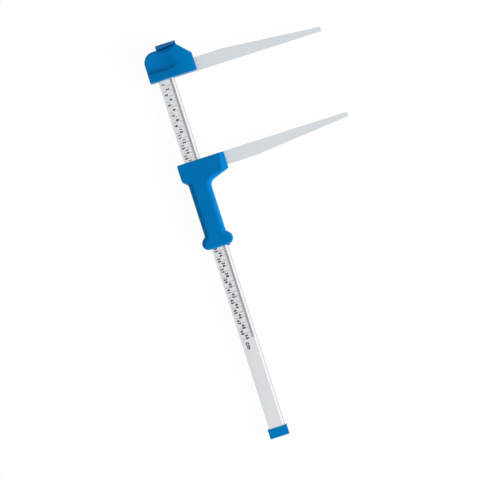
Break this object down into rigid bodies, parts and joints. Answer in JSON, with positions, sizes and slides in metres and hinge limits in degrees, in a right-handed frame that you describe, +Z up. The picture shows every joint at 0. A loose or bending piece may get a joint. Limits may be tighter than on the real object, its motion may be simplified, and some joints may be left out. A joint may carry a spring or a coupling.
{
  "type": "log caliper",
  "caption": "Forestry log caliper: a flat scaled beam with a fixed head and a handle that slides along it, each carrying a long tapered jaw, to measure the diameter of logs and trees.",
  "frame": {"origin": "middle of the caliper's box on the surface that it lies on, with the jaws as far open as shown", "axes": "+X along the jaws towards their tips, +Y along the beam towards the fixed head, +Z up out of the scale's face; the caliper lies on its back"},
  "size_m": [0.331, 0.7574, 0.03],
  "materials": {
    "anodised_beam": "satin anodised, with a printed scale",
    "jaw_metal": "fine matt anodised",
    "blue_moulding": "moulded, soft gloss",
    "dark_acetal": "smooth, self-lubricating",
    "white_acetal": "smooth, self-lubricating",
    "zinc_steel": "zinc plated",
    "brass_insert": "turned"
  },
  "bodies": {
    "beam": {"beam": "anodised_beam", "end_cap": "blue_moulding", "end_cap_screw": "zinc_steel", "head_front_shell": "blue_moulding", "head_rear_shell": "blue_moulding", "head_screws": "zinc_steel", "fixed_jaw": "jaw_metal", "fixed_jaw_bolts": "zinc_steel", "fixed_jaw_inserts": "brass_insert"},
    "handle": {"handle_front_shell": "blue_moulding", "handle_rear_shell": "blue_moulding", "handle_screws": "zinc_steel", "sliding_jaw": "jaw_metal", "sliding_jaw_bolts": "zinc_steel", "sliding_jaw_inserts": "brass_insert", "glide_pads": "white_acetal", "upper_bush": "brass_insert", "lower_bush": "brass_insert"},
    "upper_shoe": {"upper_shoe": "dark_acetal"},
    "lower_shoe": {"lower_shoe": "dark_acetal"},
    "upper_adjuster": {"upper_adjuster": "zinc_steel"},
    "lower_adjuster": {"lower_adjuster": "zinc_steel"}
  },
  "joints": [
    {"name": "handle_slide", "type": "slide", "parent": "beam", "child": "handle", "axis": [0, -1, 0], "range_m": [-0.15645, 0.347]},
    {"name": "upper_shoe_slide", "type": "slide", "parent": "handle", "child": "upper_shoe", "axis": [1, 0, 0], "range_m": [-0.0004, 0]},
    {"name": "upper_adjuster_turn", "type": "hinge", "parent": "upper_shoe", "child": "upper_adjuster", "pos_m": [-0.15505, 0.13705, 0.015], "axis": [1, 0, 0], "range_deg": [-180, 0]},
    {"name": "lower_shoe_slide", "type": "slide", "parent": "handle", "child": "lower_shoe", "axis": [-1, 0, 0], "range_m": [-0.0004, 0]},
    {"name": "lower_adjuster_turn", "type": "hinge", "parent": "lower_shoe", "child": "lower_adjuster", "pos_m": [-0.11595, 0.00165, 0.015], "axis": [-1, 0, 0], "range_deg": [-180, 0]}
  ],
  "couplings": [
    {"joint": "upper_adjuster_turn", "follows": "upper_shoe_slide", "rad_per_m": 7854},
    {"joint": "lower_adjuster_turn", "follows": "lower_shoe_slide", "rad_per_m": 7854}
  ]
}
